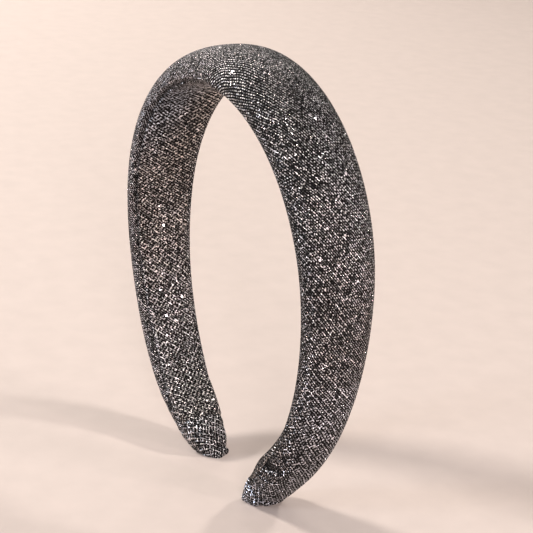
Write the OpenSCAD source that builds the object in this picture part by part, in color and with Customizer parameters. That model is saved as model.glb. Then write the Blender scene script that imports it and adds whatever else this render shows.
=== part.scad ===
// Padded headband
// A cloth-covered, padded band bent into an arch that stands on its two folded ends.
// X runs from ear to ear, Y from the front edge to the back edge and Z up.
// The origin lies on the floor, midway between the two ends.

/* [Arch] */
// Radius of the inner line over the top of the head
crown_radius = 59.5; // [50:0.5:75]
// Angle that the top arc turns on each side of the middle
crown_angle = 86.5; // [75:0.5:92]
// Radius of the inner line down the side of the head
side_radius = 95; // [80:1:120]
// Angle that the side arc turns
side_angle = 56; // [44:0.5:60]
// Radius of the inner line behind the ear
heel_radius = 40; // [30:1:60]
// Angle that the arc behind the ear turns
heel_angle = 13; // [8:1:18]

/* [Band] */
// Width of the band at the top
crown_width = 32; // [26:0.5:45]
// Width of the band where each end tuck begins
end_width = 16; // [13:0.5:22]
// Padding outside the inner line at the top
crown_pad = 10.4; // [7:0.2:16]
// Padding outside the inner line at the ends
end_pad = 7.2; // [5:0.2:9]
// Swell of the cover inside the inner line
inner_swell = 0.6; // [0.4:0.1:1.5]
// Swell of the cover inside the inner line at the ends
end_swell = 1.2; // [0.6:0.1:2]

/* [Inner facing] */
// Thickness of the facing strip
facing_thick = 1; // [0.8:0.1:2]
// Thickness of the facing where its ends are turned under
hem_thick = 3; // [1:0.1:3.5]
// Distance along the band over which the turned ends thicken
hem_length = 34; // [15:1:60]
// Cover left bare beside each edge of the facing
facing_margin = 2.6; // [1.5:0.1:5]
// Cover left bare beside the turned-under ends of the facing
hem_margin = 1.2; // [0.8:0.1:3]

/* [End tucks] */
// Length of each end tuck along the band
tuck_length = 12.5; // [9:0.5:16]
// Number of gathers round each tuck
gather_count = 8; // [4:2:10]
// Height of the gathers
gather_height = 0.35; // [0.1:0.05:0.6]
// Diameter of the fold at the back corner of each tuck
corner_fold_d = 2.6; // [2:0.1:4]
// Depth to which each soft tuck is pressed flat on the floor
press_depth = 1.1; // [0.6:0.1:1.5]

/* [Fit] */
// Clearance between pieces of cloth that are sewn together
seam_gap = 0.3; // [0.2:0.05:0.5]
// Depth of the dimple that a seam pulls into the padding
seam_pinch = 0.5; // [0.1:0.1:0.5]

/* [Hidden] */

cloth_colour = [0.27, 0.26, 0.27];
facing_colour = [0.33, 0.30, 0.28];
tuck_colour = [0.22, 0.21, 0.22];

// Columns of SECTIONS: share of the way from the top to the tuck seam,
// width from end_width (0) to crown_width (1), padding from end_pad (0) to crown_pad (1)
SHARE = 0;
WIDTH = 1;
PAD = 2;
SECTIONS = [
    [0,    1,    1],
    [0.33, 0.82, 0.19],
    [0.66, 0.48, 0.16],
    [0.90, 0.28, 0.15],
    [1,    0,    0],
];

// Squareness of the cross-section: 2 is an ellipse, larger is flatter with tighter corners
outer_square = 2.35;
tuck_square = 2.9;
inner_square = 3.5;
facing_square = 5;
// Squareness of the toe of a tuck: across the band, on its outer side and on its inner side
toe_square = 2.5;
toe_outer_square = 2.5;
toe_inner_square = 1.6;
// Thickness left along the turned edges of the facing, and how far its front draws in there
facing_edge = 0.35;
facing_draw = 0.15;
// Place of the corner fold below the inner line, as a share of the padding there
corner_fold_down = 0.35;
// The toe stops short of its point, so that its end stays blunt
toe_blunt = 0.97;

// Rings along each half of a piece, and points round each ring
cover_rings = 46;
cover_sides = 32;
facing_rings = 40;
facing_sides = 12;
tuck_rings = 12;
tuck_sides = 40;

crown_length = crown_radius * crown_angle * PI / 180;
side_length = side_radius * side_angle * PI / 180;
heel_length = heel_radius * heel_angle * PI / 180;
half_length = crown_length + side_length + heel_length;
cover_end = half_length - tuck_length;
side_start_angle = crown_angle;
heel_start_angle = crown_angle + side_angle;

// Angle turned from the top after a distance s along the inner line
function turned(s) =
    s <= crown_length ? s / crown_radius * 180 / PI
    : s <= crown_length + side_length ? side_start_angle + (s - crown_length) / side_radius * 180 / PI
    : heel_start_angle + (s - crown_length - side_length) / heel_radius * 180 / PI;

// Step in [x, z] along an arc of radius r between two angles measured from the top
function arc_step(r, from, to) = r * [sin(to) - sin(from), cos(to) - cos(from)];

// Point [x, z] of the inner line at a distance s from the top
function inner_line(s) =
    arc_step(crown_radius, 0, min(turned(s), side_start_angle))
    + (s > crown_length
        ? arc_step(side_radius, side_start_angle, min(turned(s), heel_start_angle)) : [0, 0])
    + (s > crown_length + side_length
        ? arc_step(heel_radius, heel_start_angle, turned(s)) : [0, 0]);

// Point of the band: s along it (negative to the left), y across it, n outwards from the inner line
function band_point(s, y, n) =
    let (side = s < 0 ? -1 : 1, at = inner_line(abs(s)), a = turned(abs(s)))
    [side * (at.x + n * sin(a)), y, at.y + n * cos(a)];

// Row of SECTIONS that begins the stretch holding share u
function section_row(u, k = 0) =
    k >= len(SECTIONS) - 2 || u <= SECTIONS[k + 1][SHARE] ? k : section_row(u, k + 1);

// Slope of a column at row k; the band is level at the top
function section_slope(k, col) =
    k == 0 ? 0
    : let (a = SECTIONS[k - 1], b = SECTIONS[min(k + 1, len(SECTIONS) - 1)])
        (b[col] - a[col]) / (b[SHARE] - a[SHARE]);

// Smooth value of a column at share u
function section_value(u, col) =
    let (
        k = section_row(u),
        a = SECTIONS[k],
        b = SECTIONS[k + 1],
        run = b[SHARE] - a[SHARE],
        t = (u - a[SHARE]) / run
    )
    (2 * pow(t, 3) - 3 * pow(t, 2) + 1) * a[col]
    + (3 * pow(t, 2) - 2 * pow(t, 3)) * b[col]
    + (pow(t, 3) - 2 * pow(t, 2) + t) * run * section_slope(k, col)
    + (pow(t, 3) - pow(t, 2)) * run * section_slope(k + 1, col);

function mix(a, b, t) = a + (b - a) * t;
function ease(t) = let (c = min(1, max(0, t))) c * c * (3 - 2 * c);
function signed_power(v, p) = sign(v) * pow(abs(v), p);
// Share of the full size that a rounded outline of a given squareness has at t, from 0 to 1
function rounded(t, square) = pow(max(0, 1 - pow(abs(t), square)), 1 / square);

// Width, padding and inner swell of the cover at a distance s from the top
function band_width(s) = mix(end_width, crown_width, section_value(abs(s) / cover_end, WIDTH));
function band_pad(s) = mix(end_pad, crown_pad, section_value(abs(s) / cover_end, PAD));
function hem_share(s) = ease(1 - (cover_end - abs(s)) / hem_length);
function band_swell(s) = mix(inner_swell, end_swell, hem_share(s));

// Point [y, n] of a cross-section at angle v: flat corners inside, a crown outside
function section_point(v, width, pad, swell, crown_square = outer_square) =
    let (square = sin(v) > 0 ? crown_square : inner_square)
    [width / 2 * signed_power(cos(v), 2 / square),
     (sin(v) > 0 ? pad : swell) * signed_power(sin(v), 2 / square)];

// Depth of the dimple in the cover at s, which is deepest at the tuck seams
function cover_pinch(s) = seam_pinch * ease(1 - (cover_end - abs(s)) / (2 * seam_pinch));

// Ring of points round the cover at s
function cover_ring(s) =
    [for (i = [0:cover_sides - 1])
        let (
            pinch = cover_pinch(s),
            p = section_point(i * 360 / cover_sides, band_width(s) - 2 * pinch, band_pad(s) - pinch,
                band_swell(s) - pinch)
        )
        band_point(s, p.x, p.y)];

// Faces of a tube of rings that is closed at both ends
function tube_faces(rings, sides) = concat(
    [[for (i = [0:sides - 1]) i]],
    [for (r = [0:rings - 2], i = [0:sides - 1])
        let (j = (i + 1) % sides, a = r * sides, b = a + sides)
        [a + i, b + i, b + j, a + j]],
    [[for (i = [sides - 1:-1:0]) (rings - 1) * sides + i]]);

function joined(rings) = [for (ring = rings) each ring];

// Distance from the seam at ring k of n, closer together where the toe turns in
function toe_distance(k) = tuck_length * toe_blunt * sin(90 * k / (tuck_rings - 1));

// Radial factor of the gathers, which grow from the seam towards the toe
function gather(v, d) = 1 + gather_height / end_pad * ease(d / (tuck_length / 2)) * cos(gather_count * v);

// Ring of an end tuck at a distance d beyond the seam
function tuck_ring(d) =
    let (
        s = cover_end + seam_gap + d * (1 - seam_gap / tuck_length),
        across = rounded(d / tuck_length, toe_square),
        outer = rounded(d / tuck_length, toe_outer_square),
        inner = rounded(d / tuck_length, toe_inner_square),
        pinch = seam_pinch * (1 - ease(d / (2 * seam_pinch))),
        swell = end_swell + seam_gap + hem_thick,
        square = mix(outer_square, tuck_square, ease(2 * d / tuck_length))
    )
    [for (i = [0:tuck_sides - 1])
        let (
            v = i * 360 / tuck_sides,
            p = section_point(v, (end_width - 2 * pinch) * across, (end_pad - pinch) * outer,
                (swell - pinch) * inner, square) * gather(v, d)
        )
        band_point(s, p.x, p.y)];

tuck_points = joined([for (k = [0:tuck_rings - 1]) tuck_ring(toe_distance(k))]);

// Height that brings the pressed faces of the tucks to the floor
lift = -min([for (p = tuck_points) p.z]) - press_depth;

// The fold stands out at the back corner of the toe, below the inner line
corner_fold_at = band_point(half_length - corner_fold_d,
    end_width / 2 * rounded(1 - corner_fold_d / tuck_length, toe_square), corner_fold_down * end_pad);

module padded_cover() {
    rings = [for (k = [-cover_rings:cover_rings]) cover_ring(cover_end * sin(90 * k / cover_rings))];
    color(cloth_colour)
        translate([0, 0, lift])
            polyhedron(joined(rings), tube_faces(len(rings), cover_sides), convexity = 6);
}

// Depth of the cover's inner face below the inner line at y, where the facing lies on it
function cover_depth(s, y) = band_swell(s) * rounded(2 * y / band_width(s), inner_square);

// Ring of the facing: its back follows the cover at the seam gap, its front is domed
function facing_ring(s) =
    let (
        half = band_width(s) / 2 - mix(facing_margin, hem_margin, hem_share(s)),
        thick = mix(facing_thick, hem_thick, hem_share(s)),
        n = facing_sides / 2
    )
    concat(
        [for (i = [0:n - 1])
            let (y = half * cos(180 * i / (n - 1)))
            band_point(s, y, -cover_depth(s, y) - seam_gap)],
        [for (i = [n - 1:-1:0])
            let (t = cos(180 * i / (n - 1)), y = (half - facing_draw) * t)
            band_point(s, y, -cover_depth(s, y) - seam_gap
                - max(facing_edge, rounded(t, facing_square) * thick))]);

module inner_facing() {
    facing_end = cover_end - seam_gap;
    rings = [for (k = [-facing_rings:facing_rings]) facing_ring(facing_end * k / facing_rings)];
    color(facing_colour)
        translate([0, 0, lift])
            polyhedron(joined(rings), tube_faces(len(rings), facing_sides), convexity = 6);
}

// One end tuck, on the right, with its underside pressed flat
module end_tuck() {
    color(tuck_colour)
        difference() {
            translate([0, 0, lift])
                union() {
                    polyhedron(tuck_points, tube_faces(tuck_rings, tuck_sides), convexity = 4);
                    translate(corner_fold_at)
                        sphere(d = corner_fold_d, $fn = 24);
                }
            translate([0, -crown_width, -2 * tuck_length])
                cube([half_length, 2 * crown_width, 2 * tuck_length]);
        }
}

module right_end_tuck() {
    end_tuck();
}

module left_end_tuck() {
    mirror([1, 0, 0])
        end_tuck();
}

padded_cover();
inner_facing();
left_end_tuck();
right_end_tuck();
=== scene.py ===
"""Padded headband covered in bias-cut cloth woven with metallic thread.

The packed solids are the frame. Each soft solid is replaced by a cloth piece worked out from the
same named sizes, in metres: X from ear to ear, Y from the front edge to the back edge, Z up.
"""

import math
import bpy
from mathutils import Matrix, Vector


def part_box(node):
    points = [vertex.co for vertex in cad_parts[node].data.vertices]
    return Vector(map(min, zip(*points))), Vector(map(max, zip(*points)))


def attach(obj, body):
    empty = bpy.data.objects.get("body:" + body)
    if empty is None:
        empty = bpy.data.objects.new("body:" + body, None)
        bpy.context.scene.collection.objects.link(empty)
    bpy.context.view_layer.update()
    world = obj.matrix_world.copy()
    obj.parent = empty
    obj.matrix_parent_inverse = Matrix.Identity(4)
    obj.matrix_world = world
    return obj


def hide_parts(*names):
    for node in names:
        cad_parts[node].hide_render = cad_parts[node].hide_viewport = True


bl_info = {
    "name": "Padded Headband",
    "version": (1, 0, 0),
    "blender": (4, 5, 0),
    "location": "3D View > Sidebar > Headband",
    "description": "Makes a padded, cloth-covered headband that stands on its two folded ends",
    "category": "Add Mesh",
}

import bpy
import numpy as np
from bpy.props import FloatProperty, FloatVectorProperty, PointerProperty

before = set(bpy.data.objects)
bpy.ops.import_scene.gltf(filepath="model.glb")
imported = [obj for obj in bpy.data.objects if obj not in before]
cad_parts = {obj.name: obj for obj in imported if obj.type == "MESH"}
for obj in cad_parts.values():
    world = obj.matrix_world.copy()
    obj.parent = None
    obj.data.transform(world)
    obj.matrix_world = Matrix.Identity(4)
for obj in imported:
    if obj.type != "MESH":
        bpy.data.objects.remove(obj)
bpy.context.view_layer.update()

MM = 0.001

# Rings along the band and points round it, for each kind of piece
COVER_GRID = (260, 72)
FACING_GRID = (360, 64)
TUCK_GRID = (40, 96)

# Where the middle of the ring at the top lies on the cloth map, so that all of it is above 0
MAP_MIDDLE = (0.25, 0.1)

# The cloth simulation: how much larger than life it runs, its frames and the foam's pressure
SIM_SCALE = 10
SIM_FRAMES = 20
FOAM_PRESSURE = 4

# Share of the way from the top to the tuck seam, and there the width from end to crown width
# and the padding from end to crown padding, both as shares from 0 to 1
SHARES = (0, 0.33, 0.66, 0.90, 1)
WIDTHS = (1, 0.82, 0.48, 0.28, 0)
PADS = (1, 0.19, 0.16, 0.15, 0)

# Squareness of the outlines: 2 is an ellipse, larger is flatter with tighter corners
OUTER_SQUARE = 2.35
TUCK_SQUARE = 2.9
INNER_SQUARE = 3.5
FACING_SQUARE = 5

# Drag folds beside each seam: how much further from the seam they start than the end's fold
# place, their slope, their reach from the front edge and their share of the fold depth
DRAG_FOLDS = ((0, 1.8, 5.5 * MM, 1), (-5 * MM, 1.3, 4.5 * MM, 0.7))

# How far a tuck reaches under the cover's edge, and the share of its toe at the last ring
TUCK_UNDER = 0.0015
TUCK_TIP = 0.985

# Where the cloth is pulled out of line: middle on the cloth map, turn, stretch and reach, in
# metres and radians
RIGHT_TOE_PULL = ((0.395, 0.1), 0, 0.28, 0.028)
LEFT_TOE_PULL = ((0.08, 0.1), math.radians(30), 0.1, 1.0)
COVER_PULLS = (
    ((0.232, 0.116), math.radians(45), 0, 0.028),
    ((0.258, 0.115), 0, 0.12, 0.022),
    ((0.300, 0.094), 0, 0.12, 0.024),
    RIGHT_TOE_PULL,
)
FACING_PULLS = (
    ((0.205, 0.1), 0, 0.40, 0.036),
    ((0.232, 0.1), 0, 0.35, 0.014),
)


def length(name, description, default):
    """A size in metres that a user may change."""
    return FloatProperty(name=name, description=description, default=default, min=0, unit="LENGTH")


def offset(name, description, default):
    """A size in metres that may also be below 0."""
    return FloatProperty(name=name, description=description, default=default, unit="LENGTH")


def angle(name, description, degrees):
    """An angle that a user may change, given in degrees and kept in radians."""
    return FloatProperty(
        name=name, description=description, default=math.radians(degrees), subtype="ANGLE"
    )


def share(name, description, default):
    """A share from 0 to 1 that a user may change."""
    return FloatProperty(name=name, description=description, default=default, min=0, max=1)


def squareness(name, description, default):
    """A number that says how square a rounded outline is."""
    return FloatProperty(name=name, description=description, default=default)


def colour(name, description, default):
    """A colour that a user may change."""
    return FloatVectorProperty(
        name=name, description=description, default=default, size=3, min=0, max=1, subtype="COLOR"
    )


class BandSizes(bpy.types.PropertyGroup):
    """Sizes of the arch, the padding, the facing and the tucks"""

    crown_radius: length("Crown Radius", "Radius of the inner line over the top", 0.0595)
    crown_angle: angle("Crown Angle", "Angle the top arc turns on each side", 86.5)
    side_radius: length("Side Radius", "Radius of the inner line down the side", 0.095)
    side_angle: angle("Side Angle", "Angle the side arc turns", 56)
    heel_radius: length("Heel Radius", "Radius of the inner line behind the ear", 0.04)
    heel_angle: angle("Heel Angle", "Angle the arc behind the ear turns", 13)
    crown_width: length("Crown Width", "Width of the band at the top", 0.032)
    end_width: length("End Width", "Width of the band at the tuck seams", 0.016)
    crown_pad: length("Crown Padding", "Padding outside the inner line at the top", 0.0104)
    end_pad: length("End Padding", "Padding outside the inner line at the ends", 0.0072)
    inner_swell: length("Inner Swell", "Swell of the cover inside the inner line", 0.0006)
    end_swell: length("End Swell", "The same at the ends", 0.0012)
    facing_thick: length("Facing Thickness", "Thickness of the facing strip", 0.001)
    facing_margin: length("Facing Margin", "Cover left bare beside the facing", 0.0026)
    hem_length: length("Hem Length", "Distance over which the ends of the cover swell", 0.034)
    tuck_length: length("Tuck Length", "Length of each end tuck along the band", 0.0125)
    gather_height: length("Gather Height", "Height of the gathers in each tuck", 0.0004)
    corner_fold: length("Corner Fold", "Diameter of the folded corner at each toe", 0.0026)
    seam_gap: length("Seam Gap", "Clearance between pieces that are sewn together", 0.0003)
    seam_pinch: length("Seam Pinch", "Depth that a seam pulls into the padding", 0.0005)


# Sizes of the two soft ends: kind, name and description, then the left and the right end's value
END_SIZES = {
    "reach": (offset, "Reach", "How much longer the toe is than the tuck length", 0.0021, -0.0019),
    "lean": (offset, "Lean", "How far the toe leans towards the front edge", -0.0018, 0.0036),
    "drop": (length, "Drop", "How far the toe sags outwards from the inner line", 0.0023, 0.0027),
    "belly": (offset, "Belly", "How much fuller the outer side is before the toe", -0.0003, 0.0009),
    "twist": (angle, "Twist", "Turn of the toe about the band", 24, -16.9),
    "taper": (share, "Front Taper", "How much the front half narrows towards the toe", 0, 0.36),
    "front_square": (squareness, "Front Squareness", "Squareness of the toe's front corner", 1.1, 3.66),
    "back_square": (squareness, "Back Squareness", "Squareness of the toe's back corner", 2.13, 3.02),
    "outer_square": (squareness, "Outer Squareness", "Squareness of the toe's outer side", 1.6, 1.82),
    "inner_square": (squareness, "Inner Squareness", "Squareness of the toe's inner side", 1.0, 1.06),
    "hem_thick": (length, "Hem Thickness", "Thickness of the facing's turned end", 0.0043, 0.0048),
    "hem_margin": (length, "Hem Margin", "Cover left bare beside the turned end", 0.0002, 0.0001),
    "hem_length": (length, "Hem Length", "Distance over which the hem thickens", 0.033, 0.055),
    "hem_thinning": (share, "Hem Thinning", "How much thinner the hem is at the seam", 0, 0.62),
    "fold_place": (length, "Fold Place", "Distance from seam to first drag fold", 0.015, 0.0185),
    "fold_depth": (length, "Fold Depth", "Height of the drag folds", 0.0001, 0.0009),
    "edge_shade": (share, "Edge Shade", "How dark the turned edge of the facing is", 0.2, 1.0),
    "pull": (share, "Pull", "How much the cover's cloth is stretched towards the toe", 0.1, 0.4),
    "slack": (share, "Slack", "How much larger the gathered cloth is than the toe", 0.05, 0.15),
}


def end_group(name, description, column):
    """Property group of one soft end, whose defaults are its column of the table."""
    sizes = {key: row[0](row[1], row[2], row[3 + column]) for key, row in END_SIZES.items()}
    return type(name, (bpy.types.PropertyGroup,), {"__doc__": description, "__annotations__": sizes})


LeftEnd = end_group("LeftEnd", "Sizes of the soft left end: its toe, its hem and its cloth", 0)
RightEnd = end_group("RightEnd", "The same sizes of the soft right end", 1)


class ClothFinish(bpy.types.PropertyGroup):
    """Colours and sizes of the weave"""

    yarn: colour("Dark Yarn", "Colour of the dark yarn", (0.006, 0.0055, 0.006))
    silver: colour("Silver Thread", "Colour of the metallic thread", (0.96, 0.89, 0.89))
    # The silver's colour where painted light lightens it, cooler than the silver
    painted_light_silver: colour("Cool Silver", "Its colour where the tone is light", (0.82, 0.86, 0.98))
    row_pitch: length("Row Pitch", "Distance between two rows of metallic thread", 0.0007)
    facing_row_pitch: length("Facing Row Pitch", "The same on the inner facing", 0.00084)
    thread_pitch: length("Thread Pitch", "Distance between two crossing threads", 0.00052)
    facing_thread_pitch: length("Facing Thread Pitch", "The same on the inner facing", 0.00064)
    bias: angle("Bias", "Angle between the rows and the band", 38)
    facing_bias: angle("Facing Bias", "The same on the inner facing", 49)
    faint_rows: share("Faint Rows", "How much fainter every other row is", 0.48)
    facet: length("Facet", "Length of thread that catches the light as one spark", 0.00036)
    flats: share("Flat Spots", "Share of the cloth's spots that are crimped flat and glint", 0.02)
    facing_flats: share("Facing Flat Spots", "The same on the inner facing", 0.09)
    shine: share("Roughness", "Roughness of the metallic thread", 0.28)


class StageSettings(bpy.types.PropertyGroup):
    """Floor, light and camera"""

    floor: colour("Floor", "Colour of the plain floor", (0.61, 0.52, 0.47))
    view_azimuth: angle("Azimuth", "Turn of the view from the front towards the right end", 58.98)
    view_elevation: angle("Elevation", "Height angle of the view", 19.5)
    view_roll: angle("Roll", "Roll of the camera", 2.37)
    view_distance: length("Distance", "Distance from the camera to the point it looks at", 0.5957)
    view_height: length("Aim Height", "Height of the point the camera looks at", 0.0794)
    view_shift: length("Aim Shift", "Distance of that point to the right of the origin", 0.00887)
    lens: FloatProperty(
        name="Lens", description="Focal length in millimetres for a 36 mm sensor", default=117.6
    )


def ease(t):
    """Smooth step: 3t^2 - 2t^3, held at 0 below 0 and at 1 above 1."""
    c = np.clip(t, 0, 1)
    return c * c * (3 - 2 * c)


def mix(a, b, t):
    """The point a share t of the way from a to b."""
    return a + (b - a) * t


def bell(x):
    """Bell curve e^(-x^2): 1 at 0, fading on both sides."""
    return np.exp(-(x**2))


def by_side(s, left, right, name):
    """A size of the left end where s is below 0, and of the right end elsewhere."""
    return np.where(s < 0, getattr(left, name), getattr(right, name))


def pressed(height, blur):
    """Height with what is below the floor pressed flat on it: half of z + sqrt(z^2 + blur^2)."""
    return (height + np.sqrt(height**2 + blur**2)) / 2


def rounded(t, square):
    """Height at t of a rounded outline |x|^square + |y|^square = 1."""
    return np.maximum(0, 1 - np.abs(t) ** square) ** (1 / square)


def signed_power(v, p):
    """v to the power p with its sign kept."""
    return np.sign(v) * np.abs(v) ** p


def table_value(u, values):
    """Smooth value at share u of a column of the section table.

    Cubic Hermite between the rows; the slope at a row is that of the line through its two
    neighbours, and level at the top.
    """
    at, v = np.array(SHARES), np.array(values)
    last = len(at) - 1
    ahead = np.minimum(np.arange(last + 1) + 1, last)
    behind = np.maximum(np.arange(last + 1) - 1, 0)
    slope = (v[ahead] - v[behind]) / (at[ahead] - at[behind])
    slope[0] = 0
    k = np.clip(np.searchsorted(at, u) - 1, 0, last - 1)
    run = at[k + 1] - at[k]
    t = (u - at[k]) / run
    return (
        (2 * t**3 - 3 * t**2 + 1) * v[k]
        + (3 * t**2 - 2 * t**3) * v[k + 1]
        + (t**3 - 2 * t**2 + t) * run * slope[k]
        + (t**3 - t**2) * run * slope[k + 1]
    )


def arcs(band):
    """Radius and angle of the three arcs of the inner line, from the top to the toe."""
    return (
        (band.crown_radius, band.crown_angle),
        (band.side_radius, band.side_angle),
        (band.heel_radius, band.heel_angle),
    )


def half_length(band):
    """Length of the inner line from the top to the toe."""
    return sum(radius * turn for radius, turn in arcs(band))


def cover_end(band):
    """Distance along the inner line from the top to the tuck seam."""
    return half_length(band) - band.tuck_length


def band_point(band, s, y, n):
    """Point s along the band, y across it and n outwards from its inner line.

    The inner line is three arcs end to end. An arc of radius r between the angles p and q,
    measured from the top, steps by r(sin q - sin p) sideways and r(cos q - cos p) upwards.
    Beyond the last arc the line runs straight on. Negative s is the mirrored left half.
    """
    distance, side = np.abs(s), np.where(s < 0, -1.0, 1.0)
    x, z, turned = np.zeros_like(distance), np.zeros_like(distance), np.zeros_like(distance)
    start = 0.0
    for radius, turn in arcs(band):
        step = np.clip(distance - start, 0, radius * turn) / radius
        x = x + radius * (np.sin(turned + step) - np.sin(turned))
        z = z + radius * (np.cos(turned + step) - np.cos(turned))
        turned = turned + step
        start += radius * turn
    beyond = np.maximum(0, distance - start)
    x, z = x + beyond * np.cos(turned), z - beyond * np.sin(turned)
    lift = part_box("padded_cover")[1][2] - band.crown_pad
    x, y, z = np.broadcast_arrays(side * (x + n * np.sin(turned)), y, z + n * np.cos(turned) + lift)
    return np.stack([x, y, z], axis=-1)


def hem_share(band, s):
    """How far the cover's inside has swelled at s, as a smooth step over the hem's length."""
    return ease(1 - (cover_end(band) - np.abs(s)) / band.hem_length)


def band_shape(band, s):
    """Width, padding and inner swell of the cover at s, from the section table."""
    u = np.clip(np.abs(s) / cover_end(band), 0, 1)
    width = mix(band.end_width, band.crown_width, table_value(u, WIDTHS))
    pad = mix(band.end_pad, band.crown_pad, table_value(u, PADS))
    return width, pad, mix(band.inner_swell, band.end_swell, hem_share(band, s))


def section(v, width, pad, swell, outer_square=OUTER_SQUARE):
    """Point (y, n) of a cross-section at angle v.

    A superellipse: y goes as cos v and n as sin v, each to the power 2/squareness, with the
    padding as its height outside the inner line and the swell inside it.
    """
    outside = np.sin(v) > 0
    square = np.where(outside, outer_square, INNER_SQUARE)
    y = width / 2 * signed_power(np.cos(v), 2 / square)
    return y, np.where(outside, pad, swell) * signed_power(np.sin(v), 2 / square)


def even_angles(count, width, pad, swell, outer_square=OUTER_SQUARE):
    """Angles round a cross-section, from the middle of its inner side and back to it.

    The points they give are the same distance apart along the outline: its running length is
    measured on a polygon of 4,000 sides and read back at equal steps.
    """
    fine = np.linspace(-math.pi / 2, 1.5 * math.pi, 4001)
    y, n = section(fine, width, pad, swell, outer_square)
    run = np.concatenate([[0], np.cumsum(np.hypot(np.diff(y), np.diff(n)))])
    return np.interp(np.linspace(0, run[-1], count + 1), run, fine)[:-1]


def cloth_length(band, pull, s):
    """Distance along the cloth itself, which is pulled longer towards an end.

    The pull grows over the hem's length as the smooth step 3t^2 - 2t^3, so the distance falls
    short of s by the sum of that, t^3 - t^4/2, and beyond the seam by the full pull.
    """
    t = np.maximum(0, 1 - (cover_end(band) - np.abs(s)) / band.hem_length)
    lost = np.where(t < 1, t**3 - t**4 / 2, t - 0.5)
    return s - np.sign(s) * pull * band.hem_length * lost


def cloth_map(points, along):
    """Place of each grid point on the flat cloth, in metres.

    The first number is the distance along the band. The second is the distance round the
    section from the middle of its ring, as running lengths between neighbours, so that the
    weave keeps its size however wide the band is. A last column repeats the first one's far
    side.
    """
    ring = np.concatenate([points, points[:, :1]], axis=1)
    steps = np.linalg.norm(np.diff(ring, axis=1), axis=2)
    run = np.concatenate([np.zeros((len(ring), 1)), np.cumsum(steps, axis=1)], axis=1)
    middle = run[:, run.shape[1] // 2][:, None]
    u = np.broadcast_to(along[:, None], run.shape)
    return np.stack([u, run - middle], axis=-1) + MAP_MIDDLE


def turned_cloth(cloth, middle, turn, stretch, reach):
    """Cloth map turned and stretched round a middle point, both fading out as a bell curve.

    At distance d from the middle the share is exp(-(d/reach)^2). The offset from the middle
    turns by that share of the turn, and shrinks by that share of the stretch, which makes the
    threads look larger.
    """
    away = cloth - np.array(middle)
    fade = bell(np.linalg.norm(away, axis=-1) / reach)
    c, s = np.cos(turn * fade), np.sin(turn * fade)
    x, y = away[..., 0], away[..., 1]
    turned = np.stack([c * x - s * y, s * x + c * y], axis=-1)
    return np.array(middle) + turned * (1 - stretch * fade)[..., None]


def tube_mesh(name, points, cloth, blunt=(0.0, 0.0)):
    """Mesh of a closed tube from a grid of rings, with fans over its two ends.

    Row i, column j of the grid is joined to its neighbours by one four-sided face; the last
    column is joined to the first. The middle of each fan stands out by its blunt distance.
    """
    rows, columns = points.shape[:2]
    i, j = np.meshgrid(np.arange(rows - 1), np.arange(columns), indexing="ij")
    k = (j + 1) % columns
    quads = np.stack(
        [i * columns + j, i * columns + k, (i + 1) * columns + k, (i + 1) * columns + j], axis=-1
    ).reshape(-1, 4)
    quad_cloth = np.stack(
        [cloth[i, j], cloth[i, j + 1], cloth[i + 1, j + 1], cloth[i + 1, j]], axis=2
    ).reshape(-1, 2)
    ends, fans, fan_cloth = [], [], []
    for end, row, inner in ((0, 0, 1), (1, rows - 1, rows - 2)):
        middle = points[row].mean(axis=0)
        out = middle - points[inner].mean(axis=0)
        ends.append(middle + out / max(np.linalg.norm(out), 1e-9) * blunt[end])
        at = np.arange(columns)
        rim, ahead = row * columns + at, row * columns + (at + 1) % columns
        centre = np.full(columns, rows * columns + end)
        centre_cloth = np.broadcast_to(cloth[row].mean(axis=0), (columns, 2))
        order = (0, 1, 2) if end == 0 else (0, 2, 1)
        corners = (rim, centre, ahead)
        spots = (cloth[row, :-1], centre_cloth, cloth[row, 1:])
        fans.append(np.stack([corners[c] for c in order], axis=-1))
        fan_cloth.append(np.stack([spots[c] for c in order], axis=1).reshape(-1, 2))
    mesh = bpy.data.meshes.new(name)
    vertices = np.concatenate([points.reshape(-1, 3), np.array(ends)])
    faces = quads.tolist() + np.concatenate(fans).tolist()
    mesh.from_pydata(vertices.tolist(), [], faces)
    layer = mesh.uv_layers.new(name="Cloth")
    layer.data.foreach_set("uv", np.concatenate([quad_cloth, *fan_cloth]).ravel())
    mesh.polygons.foreach_set("use_smooth", np.ones(len(mesh.polygons), dtype=bool))
    mesh.update()
    return mesh


def add_attribute(mesh, name, grid):
    """Give a tube's points a number each, from a grid of rings; its two end points get 0."""
    mesh.attributes.new(name, "FLOAT", "POINT").data.foreach_set("value", np.append(grid, [0.0, 0.0]))


def points_of(mesh):
    """Vertex places of a mesh as rows of three."""
    places = np.empty(len(mesh.vertices) * 3)
    mesh.vertices.foreach_get("co", places)
    return places.reshape(-1, 3)


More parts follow.
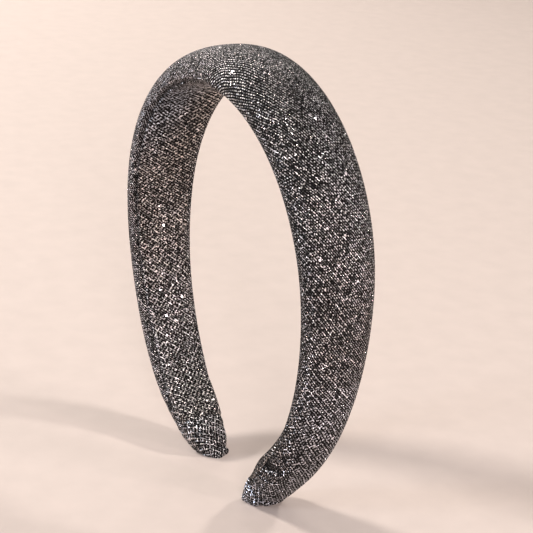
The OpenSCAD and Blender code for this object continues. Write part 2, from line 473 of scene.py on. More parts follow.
def settle(mesh, held, growth, cap):
    """Let cloth settle over its foam by a cloth simulation, and keep the result in the mesh.

    It runs larger than life and without gravity. The foam's pressure swells the cloth, and
    cloth that has grown a little buckles into puckers. Held grid points and the tube's two end
    points stay. A move m becomes cap tanh(m / cap), and what would be below the floor is
    pressed flat on it.
    """
    scene = bpy.context.scene
    start = points_of(mesh)
    trial = mesh.copy()
    trial.vertices.foreach_set("co", (SIM_SCALE * start).ravel())
    body = bpy.data.objects.new("settling_cloth", trial)
    scene.collection.objects.link(body)
    group = body.vertex_groups.new(name="held")
    group.add(np.flatnonzero(np.append(held, [True, True])).tolist(), 1.0, "REPLACE")
    cloth = body.modifiers.new("Cloth", "CLOTH")
    cloth.settings.vertex_group_mass = "held"
    cloth.settings.quality = 6
    cloth.settings.bending_stiffness = 0.1
    cloth.settings.use_pressure = True
    cloth.settings.uniform_pressure_force = FOAM_PRESSURE
    cloth.settings.shrink_min = -growth
    cloth.settings.effector_weights.gravity = 0
    cloth.collision_settings.use_collision = False
    for number in range(1, SIM_FRAMES + 1):
        scene.frame_set(number)
    settled = body.evaluated_get(bpy.context.evaluated_depsgraph_get()).data
    move = points_of(settled) / SIM_SCALE - start
    far = np.maximum(np.linalg.norm(move, axis=1), 1e-9)[:, None]
    end = start + move * cap * np.tanh(far / cap) / far
    end[:, 2] = pressed(end[:, 2], 0.02 * MM)
    mesh.vertices.foreach_set("co", end.ravel())
    mesh.update()
    bpy.data.objects.remove(body)
    bpy.data.meshes.remove(trial)
    scene.frame_set(1)


def place(name, mesh, material, node):
    """Put a mesh in the scene as the piece that stands for a CAD node."""
    piece = bpy.data.objects.new(name, mesh)
    bpy.context.scene.collection.objects.link(piece)
    mesh.materials.append(material)
    smooth = piece.modifiers.new("Smooth", "SUBSURF")
    smooth.levels = smooth.render_levels = 1
    smooth.uv_smooth = "NONE"
    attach(piece, "root")
    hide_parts(node)
    return piece


def crease(from_seam, from_front, start, slope, reach):
    """Height from -1 to 1 of a drag fold that starts at the front edge and runs slantwise.

    Across the fold, a rounded valley lies beside a rounded ridge, as the difference of two
    bell curves. It fades with a smooth step over its reach from the front edge.
    """
    across = (from_seam - start - slope * from_front) / math.hypot(1, slope)
    fold = bell(across / MM + 0.5) - bell(across / MM - 0.5)
    return fold * ease(1.2 - from_front / reach)


def cover_grid(band, left, right, rows, columns):
    """Rings of the padded cover: a crowned section carried along the inner line.

    The rings stand closer together towards the ends, at the sines of even angles up to 81
    degrees. The points round a ring are even on the section at 0.6 of the way to the seam. The
    padding gains the toe's belly over the tuck's length, and the seam pinches it in. Near each
    end drag folds run over its front edge, and fade with a smooth step over the last 3 mm. The
    third result is the painted shade in their valleys.
    """
    end = cover_end(band) + band.seam_gap
    s = end * np.sin(np.linspace(-math.pi / 2, math.pi / 2, rows) * 0.9) / math.sin(0.45 * math.pi)
    along = s[:, None]
    middle = band_shape(band, np.array([0.6 * end]))
    v = even_angles(columns, *(float(value[0]) for value in middle))
    width, pad, swell = band_shape(band, along)
    from_seam = end - np.abs(along)
    pad = pad + by_side(along, left, right, "belly") * ease(1 - from_seam / band.tuck_length)
    pinch = band.seam_pinch * ease(1 - from_seam / (2 * band.seam_pinch))
    y, n = section(v[None], width - 2 * pinch, pad - pinch, swell - pinch)
    from_front = y + width / 2
    fold = by_side(along, left, right, "fold_place")
    depth = by_side(along, left, right, "fold_depth")
    bump = sum(
        share_of_depth * crease(from_seam, from_front, fold + further, slope, reach)
        for further, slope, reach, share_of_depth in DRAG_FOLDS
    )
    bump = bump * ease(from_seam / (3 * MM))
    # Painted shade in the valleys of the drag folds
    dark = np.clip(-1.5 * bump, 0, 1) * depth / (1.2 * MM)
    bump = depth * bump
    points = band_point(band, along, y * (1 + 2 * bump / width), n * (1 + bump / pad))
    return s, points, dark


def cover_shading(s, around, dark):
    """Crossing and painted shading of the cover's cloth at s along the band and around its section.

    Crossing is part of the weave. The painted shading is painted shade above 0 and painted light
    below 0. Most places on it are bell curves round a middle, which is given in millimetres from
    the top of the band, to the right, and from the outer middle of the section, to the front. The
    hollow, the lit spot and the rim lie where the cloth is drawn together beside the right toe,
    with painted shade in the hollow and on the rim and a painted highlight on the spot. The inner
    edge of the right half, with painted shade, and the whole low part of the right leg, with
    painted light, fade in with smooth steps. The painted shade in the valleys of the drag folds
    counts where it is darker than that edge.
    """
    along = s[:, None] / MM
    around = around / MM

    def patch(middle, reach):
        """Oval patch of the cover, as a bell curve of the distance over the reach."""
        return bell(np.hypot((along - middle[0]) / reach[0], (around - middle[1]) / reach[1]))

    crown_front = patch((5, 15), (22, 22))
    painted_left_inside_light = patch((-48, 19), (28, 6))
    painted_shoulder_light = patch((45, -4), (32, 9))
    hollow = patch((157, 11.5), (9, 4.5))
    painted_toe_highlight = patch((171, 12.5), (7, 3.5))
    rim = bell(((along - 153) / 12) ** 2) * bell((around - 16) / 1.5)
    inner_edge = bell((around - 17) / 5) * ease((along - 20) / 20)
    low = ease((along - 102) / 28)
    # Painted shade: the fold valleys, the inner edge, the crown's front, the hollow and the rim.
    # Painted light: the lit spot by the toe, the left of the inside, the right shoulder and the low
    # part of the right leg.
    painted_shading = np.maximum(dark, 0.55 * inner_edge) + 0.12 * crown_front + 0.5 * hollow + 0.9 * rim
    painted_shading = painted_shading - 0.45 * painted_toe_highlight - painted_left_inside_light - 0.9 * low * (1 - inner_edge) - 0.4 * painted_shoulder_light
    return 0.9 * low + 0.8 * inner_edge - crown_front - 0.12, painted_shading


def facing_grid(band, left, right, rows, columns):
    """Rings of the facing: its back lies on the cover's inner side and its front is domed.

    The back stays half a seam gap off the cover's outline. The front rises from it as a rounded
    outline times the thickness, and by 0.3 of the thickness at least. Towards each end the
    strip widens and thickens with a smooth step, into the turned-under hem, whose edge wavers
    as a cosine. Over the last 16 mm the hem thins again by its thinning. The third result is
    the cloth's painted shading: painted shade along the turned edges of its domed front, and
    painted light with a little painted shade along its left half.
    """
    end = cover_end(band) - band.seam_gap
    s = np.linspace(-end, end, rows)
    along = s[:, None]
    width, _, swell = band_shape(band, along)
    near = cover_end(band) - np.abs(along)
    hem = ease(1 - near / by_side(along, left, right, "hem_length"))
    half = width / 2 - mix(band.facing_margin, by_side(along, left, right, "hem_margin"), hem)
    waver = np.cos(2 * math.pi * along / (2.1 * MM) + 2 * np.sin(along / (3 * MM)))
    half = half + 0.12 * MM * hem * waver
    thin = by_side(along, left, right, "hem_thinning") * ease(1 - near / (16 * MM))
    thick = mix(band.facing_thick, by_side(along, left, right, "hem_thick"), hem) * (1 - thin)
    v = np.linspace(math.pi / 2, 2.5 * math.pi, columns, endpoint=False)[None]
    t = np.clip(np.cos(v) * 1.02, -1, 1)
    y = half * t
    depth = swell * rounded(2 * y / width, INNER_SQUARE) + band.seam_gap / 2
    rise = np.where(np.sin(v) < 0, thick * np.maximum(0.3, rounded(t, FACING_SQUARE)), 0)
    # Painted shade along the turned edges of the domed front, as dark as the end's edge shade at the
    # hems
    edge = mix(0.25 * (t > 0), by_side(along, left, right, "edge_shade"), hem) * (np.sin(v) < 0)
    painted_shading = edge * turned_edge(t) - facing_painted_light(along, y)
    return s, band_point(band, along, y, -depth - rise), painted_shading


def turned_edge(t):
    """How much a point at share t from the facing's middle to its edge is on its turned edge.

    A smooth step from 0.9 to 0.95 of the way, held back to 0.4 where the edge turns under.
    """
    return ease((np.abs(t) - 0.9) / 0.05) * mix(0.4, 1, ease(4 * rounded(t, FACING_SQUARE) - 1.5))


def facing_painted_light(along, y):
    """Painted light on the facing's cloth, as bell curves along the left half of the band.

    The most painted light is at the left of the top and fades towards the back edge with a
    smooth step. The next is near the left end, and between the two there is a little painted
    shade.
    """
    top = 1.7 * bell((along + 46 * MM) / (24 * MM)) * ease((9 * MM - y) / (18 * MM))
    low = 0.4 * bell((along + 140 * MM) / (26 * MM))
    return top + low - 0.15 * bell((along + 88 * MM) / (22 * MM))


def folded_corner(band, side, points):
    """Toe whose folded corner stands out at the back, and how far each point is from it.

    At distance f from the corner, in halves of its diameter, the cloth moves outwards as
    e^(-f^4), which is a round nub, less 0.3 e^(-(f - 1.9)^2 / 0.2), which is a neck round it.
    """
    rows, columns = points.shape[:2]
    corner = points[round(0.62 * rows), round(0.135 * columns)]
    far = np.linalg.norm(points - corner, axis=-1)[..., None] / (0.5 * band.corner_fold)
    nub = np.exp(-(far**4)) - 0.3 * np.exp(-((far - 1.9) ** 2) / 0.2)
    outwards = np.array([-0.3 * side, 0.9, 0.05])
    return points + 0.55 * band.corner_fold * nub * outwards, far[..., 0]


def tuck_grid(band, end, side, rows, columns):
    """Rings of an end tuck, from under the cover's edge to just short of the toe's tip.

    To the front, to the back, outside and inside, the section shrinks towards the toe as four
    rounded outlines, and its front half tapers evenly besides. It turns, leans and sags with
    the square of the way to the toe, and the belly on its outer side fades with that square.
    Gathers widen it as two waves of 8 and 13 turns round the section that grow from the seam,
    and whatever would be below the floor is pressed flat on it. The third result tells which
    points the settling cloth is held at: near the seam, on the floor and at the folded corner.
    """
    reach = band.tuck_length + end.reach
    d = reach * np.sin(np.linspace(0, math.pi / 2, rows)) * TUCK_TIP
    s = cover_end(band) + np.concatenate([[-TUCK_UNDER, -TUCK_UNDER / 2], d])
    d = np.concatenate([[0, 0], d])
    t = d / reach
    front, back, outer, inner = (
        rounded(t, value)[:, None]
        for value in (end.front_square, end.back_square, end.outer_square, end.inner_square)
    )
    front = front * (1 - end.taper * t)[:, None]
    hem = band.end_swell + band.seam_gap + end.hem_thick * (1 - end.hem_thinning)
    tight = 0.25 * MM * (1 - ease(t * 6))[:, None]
    v = even_angles(columns, band.end_width, band.end_pad, hem, TUCK_SQUARE)
    square = mix(OUTER_SQUARE, TUCK_SQUARE, ease(2 * t))[:, None]
    y, n = section(
        v[None],
        (band.end_width - 2 * tight) * np.where(np.cos(v) < 0, front, back),
        (band.end_pad - tight) * outer,
        (hem - tight) * inner,
        square,
    )
    wave = 0.7 * np.cos(8 * v + 0.4 * side) + 0.3 * np.cos(13 * v + 1.3 + side)
    gather = 1 + band.gather_height / band.end_pad * ease(2 * t)[:, None] * wave[None]
    y, n = y * gather, n * gather
    turn = (end.twist * t**2)[:, None]
    y, n = y * np.cos(turn) - n * np.sin(turn), y * np.sin(turn) + n * np.cos(turn)
    y, n = y - (end.lean * t**2)[:, None], n + (end.drop * t**2)[:, None]
    n = n + end.belly * (1 - t**2)[:, None] * np.maximum(0, np.sin(v))
    points, far = folded_corner(band, side, band_point(band, side * s[:, None], y, n))
    points[..., 2] = pressed(points[..., 2], 0.12 * MM)
    held = (np.arange(rows + 2)[:, None] < 4) | (points[..., 2] < 0.15 * MM) | (far < 1.5)
    steps = np.hypot(np.diff(s), np.diff(band.end_pad * outer[:, 0]))
    along = side * (s[0] + np.concatenate([[0], np.cumsum(steps)]))
    if side < 0:
        return along[::-1], points[::-1], held[::-1]
    return along, points, held


class NodeBench:
    """Adds nodes to one tree and links them, so that a formula reads from left to right."""

    def __init__(self, tree):
        self.tree = tree

    def add(self, kind, *inputs, **settings):
        """Add a node, set its settings and then link or set its inputs in order."""
        node = self.tree.nodes.new(kind)
        for name, value in settings.items():
            setattr(node, name, value)
        for socket, value in zip(node.inputs, inputs):
            self.put(socket, value)
        return node

    def put(self, socket, value):
        """Link a socket to another one, or set its value; None leaves it as it is."""
        if isinstance(value, bpy.types.NodeSocket):
            self.tree.links.new(value, socket)
        elif value is not None:
            socket.default_value = value

    def maths(self, operation, *inputs):
        """Output of one Math node."""
        return self.add("ShaderNodeMath", *inputs, operation=operation).outputs[0]

    def vector(self, operation, *inputs):
        """Output of one Vector Math node."""
        return self.add("ShaderNodeVectorMath", *inputs, operation=operation).outputs[0]

    def join(self, x, y, z):
        """Output of one Combine XYZ node."""
        return self.add("ShaderNodeCombineXYZ", x, y, z).outputs[0]

    def noise(self, point, scale, detail=1.0):
        """Outputs of one Noise Texture node: a number, and three more as a colour."""
        return self.add("ShaderNodeTexNoise", point, None, scale, detail).outputs

    def turned(self, point, turn):
        """Output of one Vector Rotate node about Z."""
        node = self.add("ShaderNodeVectorRotate", point, rotation_type="Z_AXIS")
        self.put(node.inputs["Angle"], turn)
        return node.outputs[0]

    def scaled(self, value, scale):
        """Output of one Vector Math node that scales a colour."""
        node = self.add("ShaderNodeVectorMath", value, operation="SCALE")
        self.put(node.inputs["Scale"], scale)
        return node.outputs[0]

    def blend(self, amount, a, b, data_type="FLOAT"):
        """Output of one Mix node of numbers, vectors or colours."""
        node = self.add("ShaderNodeMix", data_type=data_type)
        first, second, out = {"FLOAT": (2, 3, 0), "VECTOR": (4, 5, 1), "RGBA": (6, 7, 2)}[data_type]
        self.put(node.inputs[0], amount)
        self.put(node.inputs[first], a)
        self.put(node.inputs[second], b)
        return node.outputs[out]

    def finish(self, values):
        """Add a surface with these inputs and the material's output, and lay the nodes out."""
        surface = self.add("ShaderNodeBsdfPrincipled")
        for name, value in values.items():
            self.put(surface.inputs[name], value)
        self.add("ShaderNodeOutputMaterial", surface.outputs[0])
        self.arrange()

    def arrange(self):
        """Lay the nodes out in columns, in the order in which they were made."""
        for number, node in enumerate(self.tree.nodes):
            node.location = (220 * (number // 8), -180 * (number % 8))


def new_material(name):
    """A material without nodes, and the bench that adds them."""
    material = bpy.data.materials.new(name)
    material.use_nodes = True
    material.node_tree.nodes.clear()
    return material, NodeBench(material.node_tree)


def weave_sockets(face):
    """Give the weave's node group its named inputs and outputs, with lengths in millimetres."""
    face.new_socket(name="Cloth", in_out="INPUT", socket_type="NodeSocketVector")
    inputs = {
        "Row Pitch": 0.75,
        "Thread Pitch": 0.65,
        "Bias": math.radians(45),
        "Row Silver": 0.9,
        "Thread Silver": 0.3,
        "Faint Rows": 0.3,
        "Tilt": 0.5,
        "Facet": 0.36,
        "Flats": 0.04,
        "Crossing": 0.0,
    }
    for name, default in inputs.items():
        socket = face.new_socket(name=name, in_out="INPUT", socket_type="NodeSocketFloat")
        socket.default_value = default
    outputs = {"Silver": "Float", "Shade": "Float", "Normal": "Color", "Chance": "Float"}
    for name, kind in outputs.items():
        face.new_socket(name=name, in_out="OUTPUT", socket_type="NodeSocket" + kind)


def threads(bench, facet_length, across, pitch, along, step, phase, width):
    """Height, two slopes, number and facet of the threads that lie a pitch apart.

    A thread's number is the place across over the pitch, rounded down. Its height is half a
    cosine along it, which goes up and down once in two steps and starts half a turn later on
    the next thread, plus 0.6 of a half round across its width. Outside its width the height is
    -2. The slopes are 0.42 of the sine along it and of the place across over the half round.
    """
    maths = bench.maths
    count = maths("DIVIDE", across, pitch)
    number = maths("FLOOR", count)
    aside = maths("MULTIPLY", maths("SUBTRACT", maths("FRACT", count), 0.5), 2 / width)
    beat = maths("DIVIDE", along, maths("MULTIPLY", step, 2))
    beat = maths("ADD", maths("MULTIPLY_ADD", number, 0.5, beat), phase)
    facet = maths("MULTIPLY_ADD", number, 0.37, maths("DIVIDE", along, facet_length))
    turn = maths("MULTIPLY", maths("SUBTRACT", maths("FRACT", beat), 0.5), 2 * math.pi)
    arch = maths("SQRT", maths("MAXIMUM", maths("SUBTRACT", 1, maths("POWER", aside, 2)), 0.04))
    there = maths("LESS_THAN", maths("ABSOLUTE", aside), 1)
    height = maths("MULTIPLY_ADD", maths("COSINE", turn), 0.5, maths("MULTIPLY", arch, 0.6))
    height = maths("SUBTRACT", maths("MULTIPLY", maths("ADD", height, 2), there), 2)
    lean = maths("MULTIPLY", maths("SINE", turn), 0.42)
    fall = maths("MULTIPLY", maths("DIVIDE", aside, arch), 0.42)
    return height, lean, fall, number, maths("FLOOR", facet)


def flat_spots(bench, cloth, share_of_cells):
    """Mask and direction of crimped flat spots, which glint where they happen to face a light.

    A spot is the middle of a cell of the cloth, where the cell's chance is below the share. Two
    more chances of the cell tilt it to either side.
    """
    maths = bench.maths
    cell = bench.add("ShaderNodeTexVoronoi", cloth, None, 0.8).outputs
    chance, x, y = bench.add("ShaderNodeSeparateColor", cell["Color"]).outputs
    flat = maths("LESS_THAN", chance, share_of_cells)
    flat = maths("MULTIPLY", flat, maths("LESS_THAN", cell["Distance"], 0.32))
    x, y = (maths("MULTIPLY_ADD", turn, 0.3, -0.15) for turn in (x, y))
    return flat, bench.join(x, y, 1.0)


def weave_group():
    """Node group of a plain weave of dark yarn and metallic thread, built once.

    The cloth is turned by the bias, so that rows run along a and lie a row pitch apart in b,
    and crossing threads run along b a thread pitch apart in a. The higher of the two shows.
    Crossing lowers the rows, so that where it is above 0 the crossing threads lie on top more,
    and it makes them silver more often and every other row fainter. The slopes of what shows
    give the normal, tilted a little at random for each facet of a thread.
    """
    group = bpy.data.node_groups.get("Metallic Weave")
    if group:
        return group
    group = bpy.data.node_groups.new("Metallic Weave", "ShaderNodeTree")
    weave_sockets(group.interface)
    bench = NodeBench(group)
    given = group.nodes.new("NodeGroupInput").outputs
    maths, vector, blend = bench.maths, bench.vector, bench.blend

    # The hand of the yarn: rows wander a little and waver finely
    cloth = given["Cloth"]
    wander = vector("MULTIPLY_ADD", bench.noise(cloth, 0.09)[1], (1.2, 1.2, 0), (-0.6, -0.6, 0))
    waver = vector("MULTIPLY_ADD", bench.noise(cloth, 0.7)[1], (0.44, 0.44, 0), (-0.22, -0.22, 0))
    moved = vector("ADD", vector("ADD", cloth, wander), waver)
    turned = bench.turned(moved, given["Bias"])
    a, b, _ = bench.add("ShaderNodeSeparateXYZ", turned).outputs

    # Which thread shows, and the chance numbers of its facet
    row_height, row_lean, row_fall, row, row_facet = threads(
        bench, given["Facet"], b, given["Row Pitch"], a, given["Thread Pitch"], phase=0.25, width=0.40
    )
    over_height, over_lean, over_fall, over, over_facet = threads(
        bench, given["Facet"], a, given["Thread Pitch"], b, given["Row Pitch"], phase=0.75, width=0.55
    )
    drift = maths("SUBTRACT", bench.noise(cloth, 0.22)[0], 0.5)
    crossing = maths("MULTIPLY_ADD", drift, 1.5, given["Crossing"])
    row_height = maths("MULTIPLY_ADD", crossing, -0.6, row_height)
    row_shows = maths("GREATER_THAN", row_height, over_height)
    height = maths("MAXIMUM", row_height, over_height)
    over_seed, row_seed = bench.join(over_facet, over, 7.0), bench.join(row_facet, row, 0.0)
    seed = blend(row_shows, over_seed, row_seed, "VECTOR")
    chance = bench.add("ShaderNodeTexWhiteNoise", seed, noise_dimensions="3D").outputs

    # Which facets are silver: most of the rows, and every other crossing thread in part
    patch = maths("MULTIPLY", maths("SUBTRACT", bench.noise(cloth, 0.42, 2.0)[0], 0.5), 0.38)
    patch = maths("MULTIPLY", patch, blend(row_shows, 2.0, 0.7))
    second = maths("MULTIPLY", maths("FRACT", maths("MULTIPLY", over, 0.5)), 2)
    thread_silver = maths("MULTIPLY_ADD", given["Crossing"], 0.3, given["Thread Silver"])
    second = maths("SUBTRACT", maths("MULTIPLY", second, maths("ADD", thread_silver, 1)), 1)
    silver_share = maths("ADD", blend(row_shows, second, given["Row Silver"]), patch)
    silver = maths("LESS_THAN", chance[0], silver_share)
    silver = maths("MULTIPLY", silver, maths("GREATER_THAN", height, -0.6))

    # The normal, turned back onto the cloth map
    over_slopes = bench.join(over_fall, over_lean, 1.0)
    slopes = blend(row_shows, over_slopes, bench.join(row_lean, row_fall, 1.0), "VECTOR")
    tilt = vector("SUBTRACT", chance[1], (0.5, 0.5, 0.5))
    tilt = vector("MULTIPLY", tilt, bench.join(given["Tilt"], given["Tilt"], 0.0))
    flat, spot = flat_spots(bench, cloth, given["Flats"])
    facing = vector("NORMALIZE", blend(flat, vector("ADD", slopes, tilt), spot, "VECTOR"))
    back = bench.turned(facing, maths("MULTIPLY", given["Bias"], -1))
    normal = vector("MULTIPLY_ADD", back, (0.5, 0.5, 0.5), (0.5, 0.5, 0.5))

    # The shade: painted shade in the gaps, facets of uneven brightness, faint rows and bright spots
    painted_gap_shade = bench.add("ShaderNodeMapRange", height, -0.5, 0.3, 0.15, 1.0, clamp=True).outputs[0]
    lit = bench.add("ShaderNodeSeparateXYZ", chance[1]).outputs[2]
    lit = maths("MINIMUM", maths("MULTIPLY_ADD", maths("POWER", lit, 3), 2.2, 0.04), 1)
    odd = maths("MULTIPLY", maths("FRACT", maths("MULTIPLY", row, 0.5)), 2)
    some = bench.add("ShaderNodeMath", 1.0, given["Crossing"], operation="ADD", use_clamp=True)
    odd = maths("MULTIPLY", maths("MULTIPLY", odd, given["Faint Rows"]), some.outputs[0])
    faint = maths("SUBTRACT", 1, maths("MULTIPLY", odd, row_shows))
    shade = maths("MAXIMUM", maths("MULTIPLY", maths("MULTIPLY", painted_gap_shade, lit), faint), flat)
    silver = maths("MAXIMUM", silver, flat)
    bench.add("NodeGroupOutput", silver, shade, normal, chance[0])
    bench.arrange()
    return group


def cloth_material(name, finish, tint, changes):
    """Cloth of dark yarn and metallic thread, whose weave follows the piece's cloth map.

    The weave is the cover's, but for the inputs named in the changes. Two numbers on the mesh
    vary it over the piece. Crossing says which threads lie on top. The painted shading darkens
    the silver as painted shade where it is above 0, and below 0 lightens it and turns it cooler
    as painted cool light.
    """
    material, bench = new_material(name)
    uv = bench.add("ShaderNodeUVMap", uv_map="Cloth")
    flat = bench.add("ShaderNodeMapping", uv.outputs[0], vector_type="POINT")
    flat.inputs["Scale"].default_value = (1 / MM, 1 / MM, 1)
    crossing = bench.add("ShaderNodeAttribute", attribute_name="Crossing").outputs["Fac"]
    weave = bench.add("ShaderNodeGroup", node_tree=weave_group())
    inputs = {
        "Cloth": flat.outputs[0],
        "Row Pitch": finish.row_pitch / MM,
        "Thread Pitch": finish.thread_pitch / MM,
        "Bias": finish.bias,
        "Row Silver": 0.95,
        "Thread Silver": 0.25,
        "Faint Rows": finish.faint_rows,
        "Tilt": 0.8,
        "Facet": finish.facet / MM,
        "Flats": finish.flats,
        "Crossing": crossing,
    }
    for socket, value in (inputs | changes).items():
        bench.put(weave.inputs[socket], value)
    silver, chance = weave.outputs["Silver"], weave.outputs["Chance"]
    # Painted light and shade from the mesh: a darker base colour above 0, lighter and cooler below 0
    painted_shading = bench.add("ShaderNodeAttribute", attribute_name="PaintedShading").outputs["Fac"]
    cool = bench.add("ShaderNodeMath", painted_shading, -0.7, operation="MULTIPLY", use_clamp=True).outputs[0]
    metal = (*(s * t for s, t in zip(finish.silver, tint)), 1)
    metal = bench.blend(cool, metal, (*finish.painted_light_silver, 1), "RGBA")
    bare = bench.blend(silver, (*finish.yarn, 1), metal, "RGBA")
    shade = bench.maths("MULTIPLY_ADD", painted_shading, -0.9, 1.0)
    shade = bench.maths("MULTIPLY", weave.outputs["Shade"], shade)
    polish = bench.add("ShaderNodeMapRange", chance, 0.0, 0.08, 0.4, 1.0, clamp=True)
    polish = bench.maths("MULTIPLY", polish.outputs[0], finish.shine)
    normal = bench.add("ShaderNodeNormalMap", 1.0, weave.outputs["Normal"], uv_map="Cloth")
    bench.finish({
        "Base Color": bench.scaled(bare, bench.maths("MINIMUM", shade, 1.0)),
        "Metallic": silver,
        "Roughness": bench.blend(silver, 0.8, polish),
        "Normal": normal.outputs[0],
        "Specular IOR Level": 0.1,
    })
    return material


class HEADBAND_OT_cover(bpy.types.Operator):
    """Make the padded cover, as one run of cloth over the foam"""

    bl_idname = "headband.cover"
    bl_label = "Padded Cover"

    def execute(self, context):
        scene = context.scene
        band, left, right = scene.headband_sizes, scene.headband_left_end, scene.headband_right_end
        s, points, dark = cover_grid(band, left, right, *COVER_GRID)
        cloth = cloth_map(points, cloth_length(band, by_side(s, left, right, "pull"), s))
        crossing, painted_shading = cover_shading(s, cloth[:, :-1, 1] - MAP_MIDDLE[1], dark)
        for pull in COVER_PULLS:
            cloth = turned_cloth(cloth, *pull)
        mesh = tube_mesh("padded_cover_cloth", points, cloth)
        add_attribute(mesh, "Crossing", crossing)
        add_attribute(mesh, "PaintedShading", painted_shading)
        # Held are three rings at each end, and the inner side, which lies under the facing
        rows, columns = COVER_GRID
        row, column = np.indices(COVER_GRID)
        held = (np.minimum(row, rows - 1 - row) < 3) | (np.minimum(column, columns - column) < 15)
        settle(mesh, held, growth=0.008, cap=0.5 * MM)
        material = cloth_material("Cover Cloth", scene.headband_cloth, (1, 1, 1), {})
        piece = place("padded_cover_cloth", mesh, material, "padded_cover")
        return {"FINISHED"}


class HEADBAND_OT_facing(bpy.types.Operator):
    """Make the strip of cloth laid along the inside, with its edges turned under"""

    bl_idname = "headband.facing"
    bl_label = "Inner Facing"

    def execute(self, context):
        scene, finish = context.scene, context.scene.headband_cloth
        band, left, right = scene.headband_sizes, scene.headband_left_end, scene.headband_right_end
        s, points, painted_shading = facing_grid(band, left, right, *FACING_GRID)
        cloth = cloth_map(points, s)
        for pull in FACING_PULLS:
            cloth = turned_cloth(cloth, *pull)
        mesh = tube_mesh("inner_facing_cloth", points, cloth)
        add_attribute(mesh, "PaintedShading", painted_shading)
        changes = {
            "Row Pitch": finish.facing_row_pitch / MM,
            "Thread Pitch": finish.facing_thread_pitch / MM,
            "Bias": finish.facing_bias,
            "Row Silver": 0.94,
            "Thread Silver": 0.65,
            "Tilt": 0.9,
            "Facet": 1.15 * finish.facet / MM,
            "Flats": finish.facing_flats,
        }
        material = cloth_material("Facing Cloth", finish, (1, 0.98, 0.94), changes)
        piece = place("inner_facing_cloth", mesh, material, "inner_facing")
        return {"FINISHED"}


class HEADBAND_OT_tucks(bpy.types.Operator):
    """Make the cloth gathered and folded over each end"""

    bl_idname = "headband.tucks"
    bl_label = "End Tucks"

    def execute(self, context):
        scene, finish = context.scene, context.scene.headband_cloth
        changes = {
            "Row Silver": 0.99,
            "Thread Silver": 0.8,
            "Tilt": 1.0,
            "Facet": 1.1 * finish.facet / MM,
        }
        # The tucks' silver is tinted cooler than the cover's, as painted cool light on the toes
        material = cloth_material("Tuck Cloth", finish, (0.94, 0.98, 1), changes)
        for side, name, end, pull, crossing, front_painted_shading in (
            (-1, "left_end_tuck", scene.headband_left_end, LEFT_TOE_PULL, 0.2, 0),
            (1, "right_end_tuck", scene.headband_right_end, RIGHT_TOE_PULL, 0.8, -1.2),
        ):
            s, points, held = tuck_grid(scene.headband_sizes, end, side, *TUCK_GRID)
            blunt = (0, 0.2 * MM)
            if side < 0:
                # Rings then start at the outer side, and the map's middle is the seen inner side
                points, held = (np.roll(grid, TUCK_GRID[1] // 2, axis=1) for grid in (points, held))
                blunt = blunt[::-1]
            cloth = cloth_map(points, cloth_length(scene.headband_sizes, end.pull, s))
            mesh = tube_mesh(name + "_cloth", points, turned_cloth(cloth, *pull), blunt)
            # Painted light, turned cooler, over the front side of the right toe; the left toe has none
            front = ease((2 * MM - points[..., 1]) / (6 * MM))
            add_attribute(mesh, "Crossing", np.full(points.shape[:2], crossing))
            add_attribute(mesh, "PaintedShading", front_painted_shading * front)
            settle(mesh, held, growth=end.slack, cap=0.6 * MM)
            piece = place(name + "_cloth", mesh, material, name)
        return {"FINISHED"}


# Each light's place, diameter, power in watts and colour: a warm key at the front left, a cool
# window low in front of it, a fill at the front right, a low accent at the back right, a light
# above the back, and a wide one at the left like a pale wall
LIGHTS = {
    "Key": ((-0.95, -0.75, 1.05), 0.28, 17, (1.0, 0.95, 0.9)),
    "Window": ((-0.35, -1.25, 0.2), 0.35, 13.5, (0.78, 0.87, 1.0)),
    "Fill": ((1.3, -0.6, 0.55), 0.4, 12, (1.0, 0.93, 0.93)),
    "Accent": ((1.1, 0.6, 0.18), 0.14, 8.5, (1.0, 0.88, 0.9)),
    "Back": ((0.35, 0.7, 1.1), 0.14, 5, (1.0, 0.96, 0.93)),
    "Wall": ((-1.1, 0.3, 0.6), 0.9, 5, (1.0, 0.95, 0.92)),
}
LIGHTS_AIM = (0, 0, 0.07)


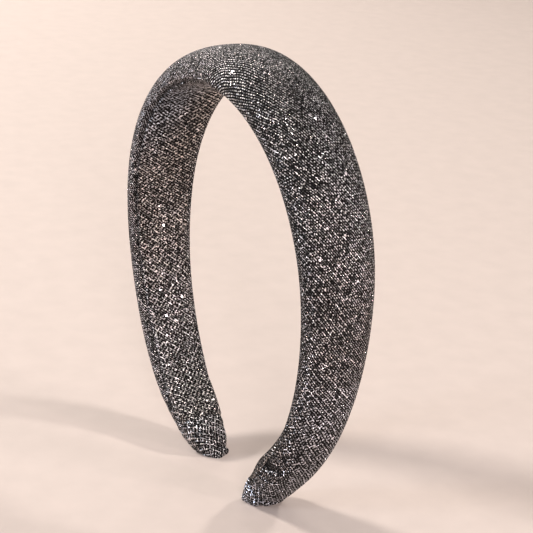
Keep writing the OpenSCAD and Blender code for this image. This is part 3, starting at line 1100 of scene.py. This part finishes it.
class HEADBAND_OT_stage(bpy.types.Operator):
    """Make the plain floor, the soft light and the camera"""

    bl_idname = "headband.stage"
    bl_label = "Stage"

    def execute(self, context):
        stage = context.scene.headband_stage
        self.make_floor(context, stage)
        self.make_lights(context)
        self.make_camera(context, stage)
        return {"FINISHED"}

    def make_floor(self, context, stage):
        """A flat square of 6 m with a plain pale finish."""
        mesh = bpy.data.meshes.new("floor")
        corners = 3 * np.array([[-1, -1, 0], [1, -1, 0], [1, 1, 0], [-1, 1, 0]])
        mesh.from_pydata(corners.tolist(), [], [[0, 1, 2, 3]])
        floor = bpy.data.objects.new("floor", mesh)
        context.scene.collection.objects.link(floor)
        material, bench = new_material("Pale Floor")
        where = bench.add("ShaderNodeTexCoord").outputs["Object"]
        grain = bench.noise(where, 90.0, 4.0)[0]
        soft = bench.add("ShaderNodeMapRange", grain, 0.3, 0.7, 0.97, 1.02).outputs[0]
        shade = bench.scaled((*stage.floor,), soft)
        bench.finish({"Base Color": shade, "Roughness": 0.85, "Specular IOR Level": 0.2})
        mesh.materials.append(material)

    def make_lights(self, context):
        """An even warm surround, and round lights that face the middle of the headband."""
        world = bpy.data.worlds.new("Studio")
        world.use_nodes = True
        background = world.node_tree.nodes["Background"]
        background.inputs["Color"].default_value = (1.0, 0.94, 0.88, 1)
        background.inputs["Strength"].default_value = 0.35
        context.scene.world = world
        for name, (spot, size, power, tint) in LIGHTS.items():
            light = bpy.data.lights.new(name, "AREA")
            light.shape = "DISK"
            light.size = size
            light.energy = power
            light.color = tint
            lamp = bpy.data.objects.new(name, light)
            lamp.location = spot
            x, y, z = np.array(LIGHTS_AIM) - np.array(spot)
            lamp.rotation_euler = (math.atan2(math.hypot(x, y), -z), 0, math.atan2(-x, y))
            lamp.visible_camera = False
            context.scene.collection.objects.link(lamp)

    def make_camera(self, context, stage):
        """A camera that looks from the photograph's side, rolled a little.

        It stands at its distance from the point it looks at, in the direction that azimuth and
        elevation give. Its right and up are turned by the roll about that direction.
        """
        a, e, roll = stage.view_azimuth, stage.view_elevation, stage.view_roll
        right = np.array([math.cos(a), math.sin(a), 0])
        back = np.array([math.sin(a) * math.cos(e), -math.cos(a) * math.cos(e), math.sin(e)])
        up = np.cross(back, right)
        axes = np.eye(4)
        axes[:3, 0] = math.cos(roll) * right + math.sin(roll) * up
        axes[:3, 1] = math.cos(roll) * up - math.sin(roll) * right
        axes[:3, 2] = back
        aim = np.array([0, 0, stage.view_height]) + stage.view_shift * right
        axes[:3, 3] = aim + stage.view_distance * back
        data = bpy.data.cameras.new("Camera")
        data.lens = stage.lens
        data.sensor_width = 36
        camera = bpy.data.objects.new("Camera", data)
        camera.matrix_world = axes.T.tolist()
        context.scene.collection.objects.link(camera)
        context.scene.camera = camera
        context.scene.view_settings.view_transform = "Standard"


class HEADBAND_PT_panel(bpy.types.Panel):
    """Sizes, colours and makers of the padded headband"""

    bl_idname = "HEADBAND_PT_panel"
    bl_label = "Padded Headband"
    bl_space_type = "VIEW_3D"
    bl_region_type = "UI"
    bl_category = "Headband"

    def draw(self, context):
        for maker in MAKERS:
            self.layout.operator(maker.bl_idname)
        for name in SETTINGS:
            group = getattr(context.scene, name)
            box = self.layout.box()
            for value in group.bl_rna.properties:
                if value.identifier not in {"rna_type", "name"}:
                    box.prop(group, value.identifier)


MAKERS = (HEADBAND_OT_stage, HEADBAND_OT_cover, HEADBAND_OT_facing, HEADBAND_OT_tucks)
SETTINGS = {
    "headband_sizes": BandSizes,
    "headband_left_end": LeftEnd,
    "headband_right_end": RightEnd,
    "headband_cloth": ClothFinish,
    "headband_stage": StageSettings,
}

CLASSES = (*SETTINGS.values(), *MAKERS, HEADBAND_PT_panel)


def register():
    """Register every class and hang each group of settings on the scene."""
    for kind in CLASSES:
        bpy.utils.register_class(kind)
    for name, group in SETTINGS.items():
        setattr(bpy.types.Scene, name, PointerProperty(type=group))


def unregister():
    """Undo what register did, in the opposite order."""
    for name in SETTINGS:
        delattr(bpy.types.Scene, name)
    for kind in reversed(CLASSES):
        bpy.utils.unregister_class(kind)


def main():
    """Make everything in order."""
    register()
    for maker in MAKERS:
        family, name = maker.bl_idname.split(".")
        getattr(getattr(bpy.ops, family), name)()


if __name__ == "__main__":
    main()
